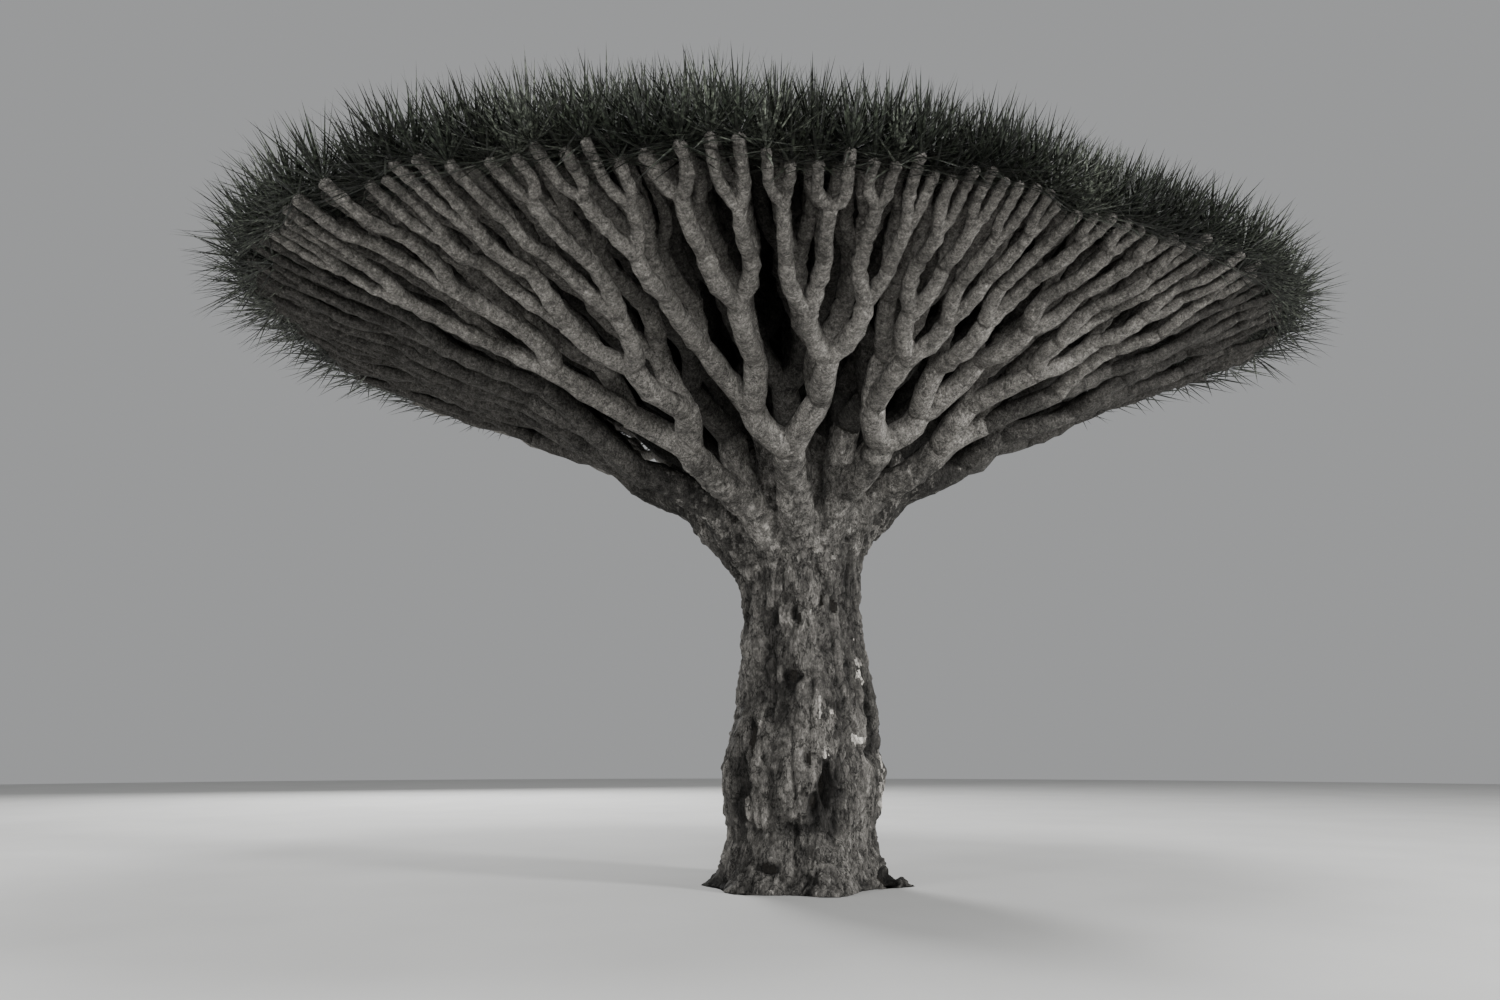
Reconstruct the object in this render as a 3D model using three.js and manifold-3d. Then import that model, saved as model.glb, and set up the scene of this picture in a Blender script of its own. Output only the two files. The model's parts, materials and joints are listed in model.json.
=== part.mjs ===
// A dragon blood tree: a stout fluted trunk whose boughs fork again and again into a wide,
// shallow dish of limbs, under a low dome of stiff leaf rosettes.
// Millimetres, +Z up. The origin is on the flat cut under the trunk, at ground level.

import * as THREE from 'three';
import { mergeVertices } from 'three/addons/utils/BufferGeometryUtils.js';
import Module from 'manifold-3d';

const wasm = await Module();
wasm.setup();

// Trunk: height, radius and sideways shift of its sections, from the cut at the ground to the
// top of the head that the boughs spring from.
const TRUNK_SECTIONS = [
  [0, 775, -30], [110, 715, -30], [250, 665, -20], [420, 640, -15], [600, 685, -15], [800, 728, -15],
  [1000, 736, -13], [1260, 695, 10], [1630, 655, 45], [1900, 612, 25], [2190, 588, -5], [2600, 585, -5],
  [2940, 595, -7], [3070, 610, -10], [3190, 620, -10], [3330, 540, -10], [3440, 380, -10],
  [3480, 220, -10],
];
const TRUNK_TOP = 3490;
const TRUNK_SIDES = 24;
const FLUTE_COUNT = 5;
const FLUTE_DEPTH = 0.028;
const FLUTE_TURN = 0.4;
const SWELL_COUNT = 3;
const SWELL_SHARE = 0.5;
const SWELL_TURN = -0.9;
// Root buttresses: compass angle in degrees, reach beyond the stem and half width in degrees.
const ROOTS = [
  [-8, 250, 15], [50, 150, 20], [116, 200, 17], [184, 150, 16], [234, 170, 18], [287, 150, 16],
];
const ROOT_FADE_HEIGHT = 210;

// Crown: the dish that the limbs fill and the dome of rosettes that closes it.
const CROWN_REACH = 4850;
const CROWN_LOBE = 0.068;
const CROWN_SHIFT = new THREE.Vector2(-335, 230);
const RIM_HEIGHT = 5070;
const RIM_RISE = new THREE.Vector2(0.008, 0.132);
const RIM_TWIST = -32;
const DOME_RISE = 1475;
const HEAD_RADIUS = 700;
const HEAD_HEIGHT = 3115;
const HEAD_DROP = 90;
const HEAD_RISE = 190;
const HEAD_TILT = 0.19;
const HEAD_TILT_FROM = 2500;
const DISH_CURVE = 0.826;
const DISH_LEAN = 0.06;

// Forks: how far along its way from trunk to tip a limb of each level divides.
const FORKS = [0, 0.12, 0.27, 0.4, 0.54, 0.67, 0.79, 0.89, 0.95];
const FORK_JITTER = 0.05;
const SPLIT_JITTER = 0.16;
// How soon a limb has moved over to its own middle, by level and for all finer ones.
const SPREAD_EASES = [1, 1, 1.5, 1.6, 1.9];
const FINE_SPREAD_EASE = 2.3;
const FIRST_ID = 8;
const SECTORS = 6;
const SECTOR_TURN = THREE.MathUtils.degToRad(-77);
const HUB = 0.35;
const MASS_LEVEL = 2;
const BOUGH_END = 0.23;

// Limb girth: a limb is as thick as the number of twig tips it carries asks for.
const TIP_RADIUS = 38;
const TIP_AREA = 30000;
const FINEST_AREA = 75000;
const FINEST_RIM_AREA = 58000;
const RIM_SHARE = 0.55;
const GIRTH_POWER = 0.28;
const FORK_SWELL = 1.12;
const FORK_WAIST = 0.98;
const HEAD_GIRTH = 1.05;
const HEAD_RUN = 0.1;
const SIDE_GIRTH = 0.45;
const SIDE_RUN = 0.3;
const HEEL_SHARE = 0.5;
const HEEL_DEPTH = 600;
const BOUGH_SIDES = 6;
const STEM_SIDES = 4;
const TWIG_SIDES = 3;
const STEM_STEPS = 5;
const TWIG_STEPS = 3;
const BOUGH_STEP = 0.06;
const BOUGH_LEAST_STEPS = 3;
const BOUGH_SINK = 0.01;
const TWIG_SINK = 0.012;
const TWIG_END_RADIUS = 50;

// Rosettes: each stands for a spray of several, so its leaves are larger than life.
const LEAF_LENGTH = 505;
const LEAF_SPREAD = 0.24;
const LEAF_TRIES = [1, 0.85, 0.7, 0.55];
const LEAF_CLIMB = 0.05;
const LEAVES_AROUND = 5;
const BUD_RADIUS = 125;
const BUD_TIERS = [97, 58];
const BUD_LIFT = 60;

// The bed is the mat of leaf bases that closes each mass, from the twig tips up.
const BED_BOTTOM = -25;
const BED_TOP = 105;
const BED_RIM_TOP = 30;
const BED_STEPS = 2;
const HUB_BED_TURNS = 3;
const HUB_BED_MARGINS = 4;
const RIM_ROSETTE = 0.72;
const RIM_SPLAY = 0.55;
const SPRAY_LEVEL = MASS_LEVEL + 2;

// Clearances between neighbouring solids.
const GAP = 0.35;
const WAY_STEP = 0.01;
const BED_MARGIN = 14;
const LEAF_MARGIN = 4;
const MERGE_DISTANCE = 0.01;

// What each seeded choice is for, and how many rosette seeds a mass has to itself.
const FORK_SEED = 1;
const SHARE_SEED = 2;
const SIDE_SEED = 3;
const SPIN_SEED = 5;
const ROSETTE_SEEDS = 8;

const BARK = { color: 0x9a948a, roughness: 0.95, metalness: 0 };
const TRUNK_BARK = { color: 0x8f897e, roughness: 0.97, metalness: 0 };
const FOLIAGE = { color: 0x2f352b, roughness: 0.6, metalness: 0 };

// A number from 0 to 1 that depends only on the branch's own number and on what it is for.
function seeded(id, purpose) {
  let h = Math.imul(id, 0x9e3779b1) ^ Math.imul(purpose + 1, 0x85ebca6b);
  h ^= h >>> 15;
  h = Math.imul(h, 0x2c1b3c6d);
  h ^= h >>> 12;
  h = Math.imul(h, 0x297a2d39);
  h ^= h >>> 15;
  return (h >>> 0) / 2 ** 32;
}

function reachTowards(phi) {
  return CROWN_REACH * (1 + CROWN_LOBE * Math.cos(3 * phi));
}

// Where the way through the crown that ends at dish position (x, y) is, at t from trunk 0 to tip 1.
// Dish positions lie in a disc of radius 1.
function crownPoint(x, y, t) {
  const rho = Math.hypot(x, y);
  const phi = Math.atan2(y, x);
  const reach = reachTowards(phi);
  const tipX = CROWN_SHIFT.x + reach * x;
  const tipY = CROWN_SHIFT.y + reach * y;
  const tilt = RIM_RISE.x * tipX + RIM_RISE.y * tipY;
  const tipZ = RIM_HEIGHT + tilt + (RIM_TWIST * Math.sin(2 * phi) - DOME_RISE) * rho ** 2 + DOME_RISE;
  const headZ = HEAD_HEIGHT - HEAD_DROP * rho ** 2 + HEAD_RISE * x;
  return new THREE.Vector3(
    HEAD_RADIUS * x + (tipX - HEAD_RADIUS * x) * t,
    HEAD_RADIUS * y + (tipY - HEAD_RADIUS * y) * t,
    headZ + (tipZ - headZ) * t ** (DISH_CURVE + DISH_LEAN * x),
  );
}

// A cell is the share of the dish that one limb and all it carries keep to.
function makeCell(id, phi0, phi1, rho0, rho1, level, parent) {
  const rho = Math.sqrt((rho0 ** 2 + rho1 ** 2) / 2);
  const phi = (phi0 + phi1) / 2;
  const area = ((phi1 - phi0) * (rho1 ** 2 - rho0 ** 2) * CROWN_REACH ** 2) / 2;
  const jitter = level > 0 ? FORK_JITTER * (seeded(id, FORK_SEED) - 0.5) : 0;
  return {
    id, phi0, phi1, rho0, rho1, level, parent, area,
    x: rho * Math.cos(phi),
    y: rho * Math.sin(phi),
    start: parent ? parent.fork : 0,
    fork: (FORKS[level] ?? 1) + jitter,
    radius: TIP_RADIUS * Math.max(1, area / TIP_AREA) ** GIRTH_POWER,
  };
}

// Each cell divides across its longer side; the first child goes on in its parent's line.
function splitCell(cell) {
  const { id, phi0, phi1, rho0, rho1, level } = cell;
  const share = 0.5 + SPLIT_JITTER * (seeded(id, SHARE_SEED) - 0.5);
  const across = ((phi1 - phi0) * (rho0 + rho1)) / 2;
  if (across > rho1 - rho0) {
    const cut = phi0 + (phi1 - phi0) * share;
    const sides = [[phi0, cut], [cut, phi1]];
    if (seeded(id, SIDE_SEED) >= 0.5) {
      sides.reverse();
    }
    return sides.map(([from, to], n) => makeCell(2 * id + n, from, to, rho0, rho1, level + 1, cell));
  }
  const cut = Math.sqrt(rho0 ** 2 + (rho1 ** 2 - rho0 ** 2) * share);
  return [
    makeCell(2 * id, phi0, phi1, cut, rho1, level + 1, cell),
    makeCell(2 * id + 1, phi0, phi1, rho0, cut, level + 1, cell),
  ];
}

// The crown's first cells: a ring of sectors, and two halves of the hub inside them.
function rootCells() {
  const cells = [];
  const sector = (2 * Math.PI) / SECTORS;
  for (let k = 0; k < SECTORS; k += 1) {
    const phi = SECTOR_TURN + k * sector;
    cells.push(makeCell(FIRST_ID + k, phi - sector / 2, phi + sector / 2, HUB, 1, 0, null));
  }
  for (let k = 0; k < 2; k += 1) {
    const phi = SECTOR_TURN + k * Math.PI;
    cells.push(makeCell(FIRST_ID + SECTORS + k, phi, phi + Math.PI, 0, HUB, 1, null));
  }
  return cells;
}

// A cell's limb leaves its parent's middle at the fork and eases over to its own middle. Those of
// the first fork leave the head apart.
function limbPoint(cell, t) {
  if (cell.level > 1 && t < cell.start) {
    return limbPoint(cell.parent, t);
  }
  const from = cell.level > 1 ? cell.parent : cell;
  const run = Math.min(1, (t - cell.start) / (cell.fork - cell.start));
  const ease = 1 - (1 - run) ** (SPREAD_EASES[cell.level] ?? FINE_SPREAD_EASE);
  return crownPoint(from.x + (cell.x - from.x) * ease, from.y + (cell.y - from.y) * ease, t);
}

function limbRadius(cell, t) {
  if (cell.level > 1 && t < cell.start) {
    return limbRadius(cell.parent, t);
  }
  const run = Math.min(1, (t - cell.start) / (cell.fork - cell.start));
  const side = cell.x ** 2 / (cell.x ** 2 + cell.y ** 2);
  const stout = SIDE_GIRTH * side ** 2 * Math.min(t / HEAD_RUN, Math.max(0, 1 - t / SIDE_RUN));
  const head = HEAD_GIRTH + (1 - HEAD_GIRTH) * Math.min(1, t / HEAD_RUN) + stout;
  const swollen = cell.radius * head * (FORK_SWELL + (FORK_WAIST - FORK_SWELL) * run);
  const past = Math.max(0, (t - cell.fork) / (1 - cell.fork));
  return swollen + (TWIG_END_RADIUS - swollen) * Math.min(1, past);
}

function solidFrom(positions, triangles) {
  return new wasm.Manifold(new wasm.Mesh({
    numProp: 3,
    vertProperties: new Float32Array(positions),
    triVerts: new Uint32Array(triangles),
  }));
}

function solidFromGeometry(geometry) {
  geometry.deleteAttribute('normal');
  geometry.deleteAttribute('uv');
  const merged = mergeVertices(geometry, MERGE_DISTANCE);
  return solidFrom(merged.attributes.position.array, merged.index.array);
}

function geometryFrom(solid) {
  const mesh = solid.getMesh();
  const geometry = new THREE.BufferGeometry();
  geometry.setAttribute('position', new THREE.BufferAttribute(mesh.vertProperties, 3));
  geometry.setIndex(new THREE.BufferAttribute(mesh.triVerts, 1));
  geometry.computeVertexNormals();
  return geometry;
}

function largestPiece(solid) {
  const pieces = solid.decompose();
  return pieces.reduce((best, piece) => (piece.volume() > best.volume() ? piece : best));
}

// A closed tube of flat facets through a row of points, with flat ends square to its way.
function taperedTube(points, tangents, radii, sides) {
  const positions = [];
  const triangles = [];
  const side = new THREE.Vector3(0, 0, 1).cross(tangents[0]).normalize();
  points.forEach((point, k) => {
    side.addScaledVector(tangents[k], -side.dot(tangents[k])).normalize();
    const up = tangents[k].clone().cross(side);
    for (let n = 0; n < sides; n += 1) {
      const angle = (2 * Math.PI * n) / sides;
      const corner = point.clone();
      corner.addScaledVector(side, radii[k] * Math.cos(angle));
      corner.addScaledVector(up, radii[k] * Math.sin(angle));
      positions.push(corner.x, corner.y, corner.z);
    }
  });
  for (let k = 0; k + 1 < points.length; k += 1) {
    for (let n = 0; n < sides; n += 1) {
      const a = k * sides + n;
      const b = k * sides + ((n + 1) % sides);
      triangles.push(a, b, b + sides, a, b + sides, a + sides);
    }
  }
  const last = (points.length - 1) * sides;
  for (let n = 1; n + 1 < sides; n += 1) {
    triangles.push(0, n + 1, n, last, last + n, last + n + 1);
  }
  return solidFrom(positions, triangles);
}

// A limb along one cell's way, as thick as another's, between two shares of the way. It can be
// grown by an extra thickness, and its foot moved on along its way to clear what it grows from.
// One that comes from the trunk has its heel deep inside it.
function limbTube(path, girth, from, to, steps, sides, extra = 0, clear = 0) {
  const points = [];
  const tangents = [];
  const radii = [];
  for (let k = 0; k <= steps; k += 1) {
    const t = from + ((to - from) * k) / steps;
    const ahead = limbPoint(path, t + WAY_STEP);
    points.push(limbPoint(path, t));
    tangents.push(ahead.sub(limbPoint(path, Math.max(0, t - WAY_STEP))).normalize());
    radii.push(limbRadius(girth, t) + extra);
  }
  points[0].addScaledVector(tangents[0], clear);
  if (from === 0) {
    const heel = points[0].clone();
    heel.set(heel.x * HEEL_SHARE, heel.y * HEEL_SHARE, heel.z - HEEL_DEPTH);
    tangents.unshift(points[0].clone().sub(heel).normalize());
    points.unshift(heel);
    radii.unshift(radii[0]);
  }
  return taperedTube(points, tangents, radii, sides);
}

// How far the root buttresses stand out of the stem at a compass angle and height.
function rootReach(phi, z) {
  return ROOTS.reduce((sum, [degrees, reach, halfWidth]) => {
    const middle = THREE.MathUtils.degToRad(degrees);
    const turn = Math.atan2(Math.sin(phi - middle), Math.cos(phi - middle));
    const fade = (turn / THREE.MathUtils.degToRad(halfWidth)) ** 2 + z / ROOT_FADE_HEIGHT;
    return sum + reach * Math.exp(-fade);
  }, 0);
}

// How far the trunk section nearest a height is shifted sideways.
function trunkShift(z) {
  const nearest = TRUNK_SECTIONS.reduce((best, section) => (
    Math.abs(section[0] - z) < Math.abs(best[0] - z) ? section : best
  ));
  return nearest[2];
}

// Fluted trunk: root buttresses at the foot fade into a stem that opens into the head.
function trunkSolid() {
  const profile = TRUNK_SECTIONS.map(([z, radius]) => new THREE.Vector2(radius, z));
  profile.unshift(new THREE.Vector2(0, 0));
  profile.push(new THREE.Vector2(0, TRUNK_TOP));
  const lathe = new THREE.LatheGeometry(profile, TRUNK_SIDES);
  lathe.rotateX(Math.PI / 2);
  const place = lathe.attributes.position;
  for (let k = 0; k < place.count; k += 1) {
    const x = place.getX(k);
    const y = place.getY(k);
    const z = place.getZ(k);
    const radius = Math.hypot(x, y);
    const phi = Math.atan2(y, x);
    const swell = SWELL_SHARE * Math.cos(SWELL_COUNT * phi + SWELL_TURN);
    const flute = FLUTE_DEPTH * (Math.cos(FLUTE_COUNT * phi + FLUTE_TURN) + swell);
    const grown = radius > 0 ? 1 + flute + rootReach(phi, z) / radius : 1;
    const outX = x * grown + trunkShift(z);
    const tilt = THREE.MathUtils.clamp((z - HEAD_TILT_FROM) / (TRUNK_TOP - HEAD_TILT_FROM), 0, 1);
    place.setXYZ(k, outX, y * grown, z + HEAD_TILT * outX * tilt);
  }
  return solidFromGeometry(lathe);
}

// The trunk a little larger all round, to cut the boughs' feet clear of it.
function trunkGrown(solid) {
  const middle = TRUNK_TOP / 2;
  const grow = 1 + GAP / Math.min(...TRUNK_SECTIONS.map(([, radius]) => radius));
  const stretch = 1 + (2 * GAP) / TRUNK_TOP;
  return solid.translate(0, 0, -middle).scale([grow, grow, stretch]).translate(0, 0, middle);
}

// Where a mass's bough begins: at the trunk, or at the fork where it leaves its parent's line.
function boughStart(cell) {
  let from = cell;
  while (from.level > 1 && from.id === 2 * from.parent.id) {
    from = from.parent;
  }
  return from.level > 1 ? from.start - BOUGH_SINK : 0;
}

// The shares of a cell at one level of forks: those that are a mass, or those that get a twig.
function sharesAt(level, cell) {
  return cell.level === level ? [cell] : splitCell(cell).flatMap((share) => sharesAt(level, share));
}

// Follows a spray's limb on to one of its finest twigs: at the rim the outermost one, and
// elsewhere the one nearest the middle of the spray.
function finestTwig(spray) {
  const aim = spray.rho1 === 1 ? 1 / Math.hypot(spray.x, spray.y) : 1;
  const off = (cell) => Math.hypot(cell.x - spray.x * aim, cell.y - spray.y * aim);
  let cell = spray;
  while (cell.area > (Math.hypot(cell.x, cell.y) > RIM_SHARE ? FINEST_RIM_AREA : FINEST_AREA)) {
    const [one, other] = splitCell(cell);
    cell = off(one) < off(other) ? one : other;
  }
  return cell;
}

// Whether a point of the leaf layer is above its own patch, clear of the borders to its
// neighbours. Past the rim it is open.
function abovePatch(patch, point) {
  const offX = point.x - CROWN_SHIFT.x;
  const offY = point.y - CROWN_SHIFT.y;
  const rho = Math.hypot(offX, offY) / reachTowards(Math.atan2(offY, offX));
  const turn = Math.atan2(offY, offX) - (patch.phi0 + patch.phi1) / 2;
  const phi = turn - 2 * Math.PI * Math.round(turn / (2 * Math.PI));
  const marginRho = LEAF_MARGIN / CROWN_REACH;
  const marginPhi = marginRho / Math.max(rho, marginRho);
  const inner = rho > patch.rho0 + marginRho;
  const outer = patch.rho1 === 1 || rho < patch.rho1 - marginRho;
  return inner && outer && Math.abs(phi) < (patch.phi1 - patch.phi0) / 2 - marginPhi;
}

function bedPoint(rho, phi, rise) {
  const point = crownPoint(rho * Math.cos(phi), rho * Math.sin(phi), 1);
  point.z += rise;
  return point;
}

// Joins two loops of corners that run the same way round an axis by a strip of triangles.
function joinLoops(outer, inner, angleOf, triangles) {
  const start = angleOf(outer[0]);
  const turned = (corner) => (angleOf(corner) - start + 4 * Math.PI) % (2 * Math.PI);
  const ring = [...inner].sort((one, other) => turned(one) - turned(other));
  let i = 0;
  let k = 0;
  while (i < outer.length || k < ring.length) {
    const nextOuter = i < outer.length ? turned(outer[(i + 1) % outer.length]) || 2 * Math.PI : Infinity;
    const nextInner = k < ring.length ? turned(ring[k]) : Infinity;
    const corner = outer[i % outer.length];
    const held = ring[(k + ring.length - 1) % ring.length];
    if (nextInner < nextOuter) {
      triangles.push(corner, ring[k], held);
      k += 1;
    } else {
      triangles.push(corner, outer[(i + 1) % outer.length], held);
      i += 1;
    }
  }
}

// A rosette on one patch of the bed: a bud joined to the patch's corners, whose facets are each
// drawn out into a long keeled leaf where there is room for one above the patch.
function addRosette(patch, outline, seed, positions, triangles) {
  const atRim = patch.rho1 === 1;
  const cornerAt = (index) => new THREE.Vector3().fromArray(positions, 3 * index);
  const [one, two, three, four] = outline.map(cornerAt);
  const normal = three.clone().sub(one).cross(four.clone().sub(two)).normalize();
  const rho = patch.rho0 + (patch.rho1 - patch.rho0) * (atRim ? RIM_ROSETTE : 0.5);
  const phi = (patch.phi0 + patch.phi1) / 2;
  const rise = atRim ? BED_TOP + (BED_RIM_TOP - BED_TOP) * RIM_ROSETTE : BED_TOP;
  const centre = bedPoint(rho, phi, rise).addScaledVector(normal, BUD_LIFT);
  const splay = atRim ? RIM_SPLAY : 0;
  const outward = new THREE.Vector3(Math.cos(phi), Math.sin(phi), 0);
  const axis = normal.clone().addScaledVector(outward, splay).normalize();
  const turn = new THREE.Quaternion().setFromUnitVectors(new THREE.Vector3(0, 0, 1), axis);
  const spin = 2 * Math.PI * seeded(seed, SPIN_SEED);
  const corners = [];
  const addCorner = (offset) => {
    corners.push(positions.length / 3);
    positions.push(...centre.clone().add(offset).toArray());
  };
  BUD_TIERS.forEach((tier, ring) => {
    const polar = THREE.MathUtils.degToRad(tier);
    for (let n = 0; n < LEAVES_AROUND; n += 1) {
      const around = spin + (2 * Math.PI * (n + ring / 2)) / LEAVES_AROUND;
      const arm = new THREE.Vector3().setFromSphericalCoords(BUD_RADIUS, polar, around);
      addCorner(arm.set(arm.z, arm.x, arm.y).applyQuaternion(turn));
    }
  });
  addCorner(axis.clone().multiplyScalar(BUD_RADIUS));
  const east = new THREE.Vector3(1, 0, 0).applyQuaternion(turn);
  const north = new THREE.Vector3(0, 1, 0).applyQuaternion(turn);
  const angleOf = (index) => {
    const arm = cornerAt(index).sub(centre);
    return Math.atan2(arm.dot(north), arm.dot(east));
  };
  joinLoops(outline, corners.slice(0, LEAVES_AROUND), angleOf, triangles);
  const drawOut = (a, b, c) => {
    const way = cornerAt(a).add(cornerAt(b)).add(cornerAt(c)).divideScalar(3).sub(centre).normalize();
    const length = LEAF_LENGTH * (1 + LEAF_SPREAD * (seeded(seed, triangles.length) - 0.5));
    const reachOf = (share) => centre.clone().addScaledVector(way, length * share);
    const share = LEAF_TRIES.find((part) => abovePatch(patch, reachOf(part)));
    if (share === undefined || way.dot(normal) < LEAF_CLIMB) {
      triangles.push(a, b, c);
      return;
    }
    const tip = positions.length / 3;
    positions.push(...reachOf(share).toArray());
    triangles.push(a, b, tip, b, c, tip, c, a, tip);
  };
  const top = corners.at(-1);
  for (let n = 0; n < LEAVES_AROUND; n += 1) {
    const next = (n + 1) % LEAVES_AROUND;
    const [low, lowNext] = [corners[n], corners[next]];
    const [high, highNext] = [corners[LEAVES_AROUND + n], corners[LEAVES_AROUND + next]];
    drawOut(low, lowNext, high);
    drawOut(lowNext, highNext, high);
    drawOut(high, highNext, top);
  }
}

// The mat of leaf bases over a cell: a slab that follows the crown's dome and carries a rosette
// on each patch of its top.
function leafBed(cell) {
  const positions = [];
  const triangles = [];
  const margin = BED_MARGIN / CROWN_REACH;
  const rho0 = Math.max(cell.rho0 + margin, HUB_BED_MARGINS * margin);
  const rho1 = cell.rho1 === 1 ? 1 : cell.rho1 - margin;
  const turns = cell.rho0 === 0 ? HUB_BED_TURNS : BED_STEPS;
  const rhoAt = (i) => rho0 + ((rho1 - rho0) * i) / BED_STEPS;
  const phiAt = (i, k) => {
    const marginPhi = margin / rhoAt(i);
    return cell.phi0 + marginPhi + ((cell.phi1 - cell.phi0 - 2 * marginPhi) * k) / turns;
  };
  const across = turns + 1;
  for (const layer of [0, 1]) {
    for (let i = 0; i <= BED_STEPS; i += 1) {
      const top = cell.rho1 === 1 && i === BED_STEPS ? BED_RIM_TOP : BED_TOP;
      for (let k = 0; k < across; k += 1) {
        positions.push(...bedPoint(rhoAt(i), phiAt(i, k), layer ? top : BED_BOTTOM).toArray());
      }
    }
  }
  const upper = across * (BED_STEPS + 1);
  const addWall = (a, b) => triangles.push(a, upper + a, b, b, upper + a, upper + b);
  for (let i = 0; i < BED_STEPS; i += 1) {
    for (let k = 0; k < turns; k += 1) {
      const a = i * across + k;
      const b = a + across;
      triangles.push(a, a + 1, b, a + 1, b + 1, b);
      const patch = { rho0: rhoAt(i), rho1: rhoAt(i + 1), phi0: phiAt(i, k), phi1: phiAt(i, k + 1) };
      const outline = [a, b, b + 1, a + 1].map((corner) => upper + corner);
      addRosette(patch, outline, ROSETTE_SEEDS * cell.id + turns * i + k, positions, triangles);
    }
    addWall((i + 1) * across, i * across);
    addWall(i * across + turns, (i + 1) * across + turns);
  }
  for (let k = 0; k < turns; k += 1) {
    addWall(k, k + 1);
    addWall(BED_STEPS * across + k + 1, BED_STEPS * across + k);
  }
  return solidFrom(positions, triangles);
}

// The tubes of one mass: a stem from the bough's end, and a twig from each fork to its spray.
function massTubes(space, sprays, extra) {
  return sprays.map((spray) => {
    let from = spray;
    while (from !== space && from.id === 2 * from.parent.id) {
      from = from.parent;
    }
    const isStem = from === space;
    const path = finestTwig(spray);
    return isStem
      ? limbTube(path, spray, BOUGH_END, 1, STEM_STEPS, STEM_SIDES, extra, GAP)
      : limbTube(path, spray, from.start - TWIG_SINK, 1, TWIG_STEPS, TWIG_SIDES, extra);
  });
}

function addNode(group, name, solid, look) {
  const mesh = new THREE.Mesh(geometryFrom(solid), new THREE.MeshStandardMaterial(look));
  mesh.name = name;
  group.add(mesh);
}

function overlaps(one, other) {
  return [0, 1, 2].every((axis) => one.min[axis] <= other.max[axis] && other.min[axis] <= one.max[axis]);
}

// Takes from a solid every grown neighbour it reaches, and keeps the piece that is left whole.
function cutClear(solid, grownNeighbours) {
  const box = solid.boundingBox();
  const near = grownNeighbours.filter((other) => overlaps(box, other.boundingBox()));
  if (near.length === 0) {
    return solid;
  }
  return largestPiece(solid.subtract(wasm.Manifold.union(near)));
}

function buildTree() {
  const group = new THREE.Group();
  const trunk = trunkSolid();
  addNode(group, 'trunk', trunk, TRUNK_BARK);
  const grown = [trunkGrown(trunk)];
  const cells = rootCells().flatMap((cell) => sharesAt(MASS_LEVEL, cell));
  const order = [...cells].sort((one, other) => boughStart(one) - boughStart(other));
  order.forEach((cell) => {
    const start = boughStart(cell);
    const steps = Math.max(BOUGH_LEAST_STEPS, Math.round((BOUGH_END - start) / BOUGH_STEP));
    const bough = limbTube(cell, cell, start, BOUGH_END, steps, BOUGH_SIDES);
    addNode(group, `bough_${cell.id}`, cutClear(bough, grown), BARK);
    grown.push(limbTube(cell, cell, start, BOUGH_END, steps, BOUGH_SIDES, GAP));
  });
  cells.forEach((cell) => {
    const sprays = sharesAt(SPRAY_LEVEL, cell);
    const twigs = cutClear(wasm.Manifold.union(massTubes(cell, sprays, 0)), grown);
    addNode(group, `mass_${cell.id}`, twigs.add(leafBed(cell)), FOLIAGE);
    grown.push(wasm.Manifold.union(massTubes(cell, sprays, GAP)));
  });
  return group;
}

export default buildTree();
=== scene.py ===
"""Looks of a dragon blood tree: bark, twigs and leaves grown by the rule that its solids follow.
Metres, +Z up, the ground at z = 0, the camera on the -Y side."""

import json
import math

import bpy
import numpy as np
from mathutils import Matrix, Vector

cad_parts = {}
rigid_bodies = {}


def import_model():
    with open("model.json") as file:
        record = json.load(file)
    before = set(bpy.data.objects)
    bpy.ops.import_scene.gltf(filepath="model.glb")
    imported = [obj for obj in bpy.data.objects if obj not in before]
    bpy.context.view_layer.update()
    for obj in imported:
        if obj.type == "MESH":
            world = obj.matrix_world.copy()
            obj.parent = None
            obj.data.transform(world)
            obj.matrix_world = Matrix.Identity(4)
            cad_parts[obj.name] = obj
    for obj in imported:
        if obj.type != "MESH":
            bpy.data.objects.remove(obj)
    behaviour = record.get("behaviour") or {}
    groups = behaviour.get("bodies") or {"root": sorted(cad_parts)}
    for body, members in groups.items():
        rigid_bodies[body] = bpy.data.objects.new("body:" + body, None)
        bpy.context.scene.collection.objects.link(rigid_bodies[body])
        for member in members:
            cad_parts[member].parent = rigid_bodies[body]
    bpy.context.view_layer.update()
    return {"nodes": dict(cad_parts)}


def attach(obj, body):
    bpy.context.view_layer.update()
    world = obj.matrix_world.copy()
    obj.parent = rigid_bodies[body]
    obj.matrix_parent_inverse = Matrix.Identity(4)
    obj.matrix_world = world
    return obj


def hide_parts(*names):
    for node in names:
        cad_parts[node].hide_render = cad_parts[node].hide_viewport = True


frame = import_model()

# Trunk: height, radius and sideways shift of its sections, from the ground to the closed head.
TRUNK_SECTIONS = np.array([
    (0, .775, -.03), (.11, .715, -.03), (.25, .665, -.02), (.42, .64, -.015), (.6, .685, -.015),
    (.8, .728, -.015), (1, .736, -.013), (1.26, .695, .01), (1.63, .655, .045), (1.9, .612, .025),
    (2.19, .588, -.005), (2.6, .585, -.005), (2.94, .595, -.007), (3.07, .61, -.01), (3.19, .62, -.01),
    (3.33, .54, -.01), (3.44, .38, -.01), (3.48, .22, -.01),
])
TRUNK_TOP = 3.49
TRUNK_SIDES = 160
TRUNK_STEP = .03
FLUTE_COUNT = 5
FLUTE_DEPTH = .028
FLUTE_TURN = .4
SWELL_COUNT = 3
SWELL_SHARE = .5
SWELL_TURN = -.9

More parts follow.
